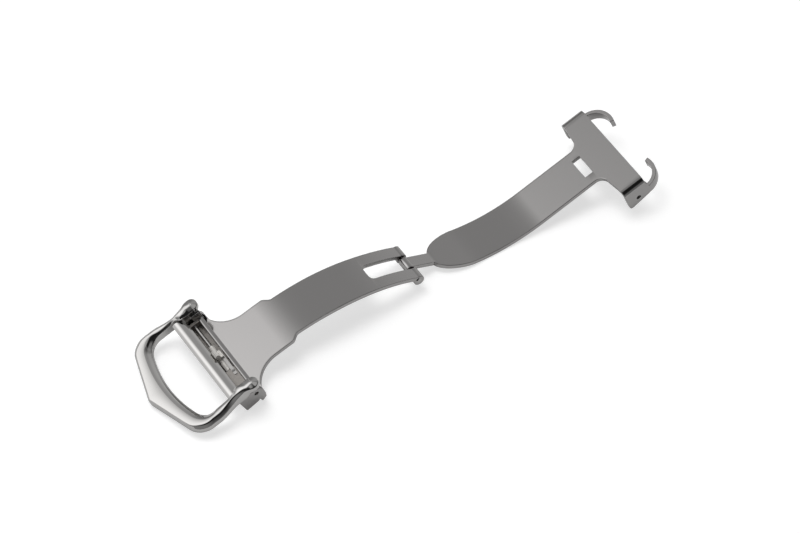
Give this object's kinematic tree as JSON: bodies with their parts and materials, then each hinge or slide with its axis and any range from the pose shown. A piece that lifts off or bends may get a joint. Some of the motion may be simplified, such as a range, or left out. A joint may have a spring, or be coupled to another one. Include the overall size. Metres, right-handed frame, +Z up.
{
  "type": "deployant clasp",
  "caption": "Folding deployant clasp for a watch strap: D-shaped buckle frame, two curved blades on a hinge pin, and a T-shaped strap end with keeper hooks.",
  "frame": {"origin": "centre of the open clasp's outline, on the surface it lies on", "axes": "+X from the pointed tip of the buckle frame to the strap end, +Y across the clasp, +Z up"},
  "size_m": [0.0958, 0.0214, 0.0083],
  "materials": {
    "polished_steel": "mirror polished",
    "satin_steel": "fine satin",
    "pin_steel": "ground",
    "spring_steel": "bright"
  },
  "bodies": {
    "front": {"front_blade": "satin_steel", "mid_pin": "pin_steel", "frame_pin_far": "pin_steel", "frame_pin_near": "pin_steel"},
    "rear": {"rear_blade": "satin_steel", "spring_bar_tube": "pin_steel", "spring_bar_coil": "spring_steel"},
    "frame": {"buckle_frame": "polished_steel", "trough_box": "satin_steel", "lever_axle": "pin_steel", "leaf_spring": "spring_steel", "leaf_rivet": "spring_steel"},
    "lever": {"tooth_lever": "satin_steel"},
    "tip_far": {"spring_bar_tip_far": "pin_steel"},
    "tip_near": {"spring_bar_tip_near": "pin_steel"}
  },
  "joints": [
    {"name": "blade_fold", "type": "hinge", "parent": "front", "child": "rear", "pos_m": [0.00196, 0, 0.00325], "axis": [0, -1, 0], "range_deg": [0, 163]},
    {"name": "frame_swing", "type": "hinge", "parent": "front", "child": "frame", "pos_m": [-0.03327, 0, 0.00385], "axis": [0, 1, 0], "range_deg": [0, 45]},
    {"name": "tooth_rock", "type": "hinge", "parent": "frame", "child": "lever", "pos_m": [-0.03464, -0.0006, 0.00411], "axis": [0, 1, 0], "range_deg": [0, 8], "stiffness_Nm_per_rad": 0.004, "springref_deg": -8.59, "deforming": ["leaf_spring"]},
    {"name": "tip_far_slide", "type": "slide", "parent": "rear", "child": "tip_far", "axis": [0, 1, 0], "range_m": [-0.0008, 0], "stiffness_N_per_m": 250, "springref_m": 0.0008},
    {"name": "tip_near_slide", "type": "slide", "parent": "rear", "child": "tip_near", "axis": [0, -1, 0], "range_m": [-0.0008, 0], "stiffness_N_per_m": 250, "springref_m": 0.0008}
  ]
}
